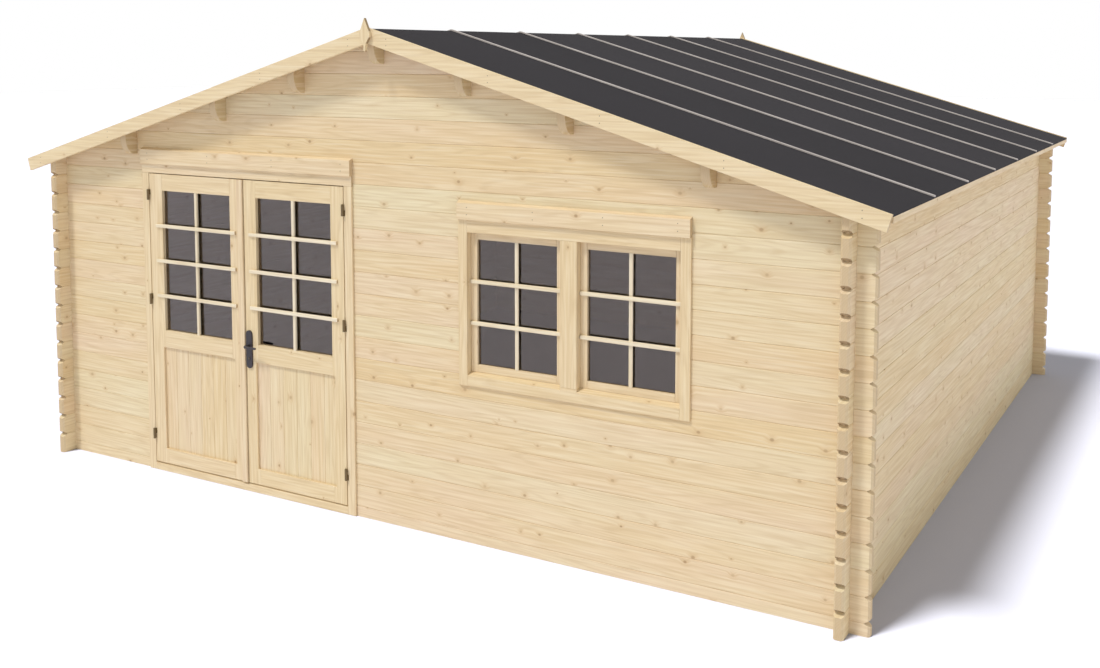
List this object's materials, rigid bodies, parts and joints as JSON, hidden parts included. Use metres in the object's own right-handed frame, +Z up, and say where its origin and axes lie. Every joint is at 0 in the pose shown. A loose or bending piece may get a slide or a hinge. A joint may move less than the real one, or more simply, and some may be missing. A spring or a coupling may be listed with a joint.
{
  "type": "log cabin",
  "caption": "Garden log cabin of crossed spruce logs with a battened felt gable roof, a glazed double door that opens outward and a double window in the front gable wall.",
  "frame": {"origin": "on the ground under the middle of the cabin's overall box", "axes": "+Z up, +X to the right seen from the front, -Y out of the front wall with the door"},
  "size_m": [5.228, 5.1506, 2.6159],
  "materials": {
    "spruce_logs": "planed natural spruce, untreated",
    "spruce_trim": "planed natural spruce trim boards, untreated",
    "weathered_battens": "sawn pale roof battens",
    "roofing_felt": "mineral-faced charcoal bitumen felt",
    "window_glass": "clear float glass",
    "black_iron": "dark satin coated steel"
  },
  "bodies": {
    "cabin": {"left_wall_logs": "spruce_logs", "right_wall_logs": "spruce_logs", "back_wall_logs": "spruce_logs", "back_gable_logs": "spruce_logs", "front_logs_left": "spruce_logs", "front_logs_low": "spruce_logs", "front_logs_middle": "spruce_logs", "front_logs_right": "spruce_logs", "front_logs_high": "spruce_logs", "front_gable_logs": "spruce_logs", "ridge_purlin": "spruce_logs", "left_purlins": "spruce_logs", "right_purlins": "spruce_logs", "roof_deck_left": "spruce_logs", "roof_deck_right": "spruce_logs", "felt_left": "roofing_felt", "felt_right": "roofing_felt", "battens_left": "weathered_battens", "battens_right": "weathered_battens", "front_bargeboards": "spruce_trim", "back_bargeboards": "spruce_trim", "eave_board_left": "spruce_trim", "eave_board_right": "spruce_trim", "finial_front": "spruce_trim", "finial_back": "spruce_trim", "door_jambs": "spruce_trim", "door_head": "spruce_trim", "door_threshold": "spruce_trim", "door_stops": "spruce_trim", "door_drip_board": "spruce_trim", "hinge_pins": "black_iron", "window_frame": "spruce_trim", "window_drip_board": "spruce_trim", "window_sashes": "spruce_trim", "window_glass": "window_glass"},
    "left_leaf": {"left_leaf_frame": "spruce_trim", "left_leaf_panel": "spruce_trim", "left_leaf_glass": "window_glass", "meeting_strip": "spruce_trim", "left_hinge_barrels": "black_iron"},
    "right_leaf": {"right_leaf_frame": "spruce_trim", "right_leaf_panel": "spruce_trim", "right_leaf_glass": "window_glass", "right_hinge_barrels": "black_iron", "handle_plates": "black_iron"},
    "lever": {"lever_handle": "black_iron"}
  },
  "joints": [
    {"name": "left_leaf_hinge", "type": "hinge", "parent": "cabin", "child": "left_leaf", "pos_m": [-1.6805, -2.4653, 0.9], "axis": [0, 0, -1], "range_deg": [0, 110]},
    {"name": "right_leaf_hinge", "type": "hinge", "parent": "cabin", "child": "right_leaf", "pos_m": [-0.2455, -2.4653, 0.9], "axis": [0, 0, 1], "range_deg": [0, 110]},
    {"name": "lever_turn", "type": "hinge", "parent": "right_leaf", "child": "lever", "pos_m": [-0.92, -2.457, 0.832], "axis": [0, 1, 0], "range_deg": [0, 40], "stiffness_Nm_per_rad": 2, "springref_deg": -14.32}
  ]
}
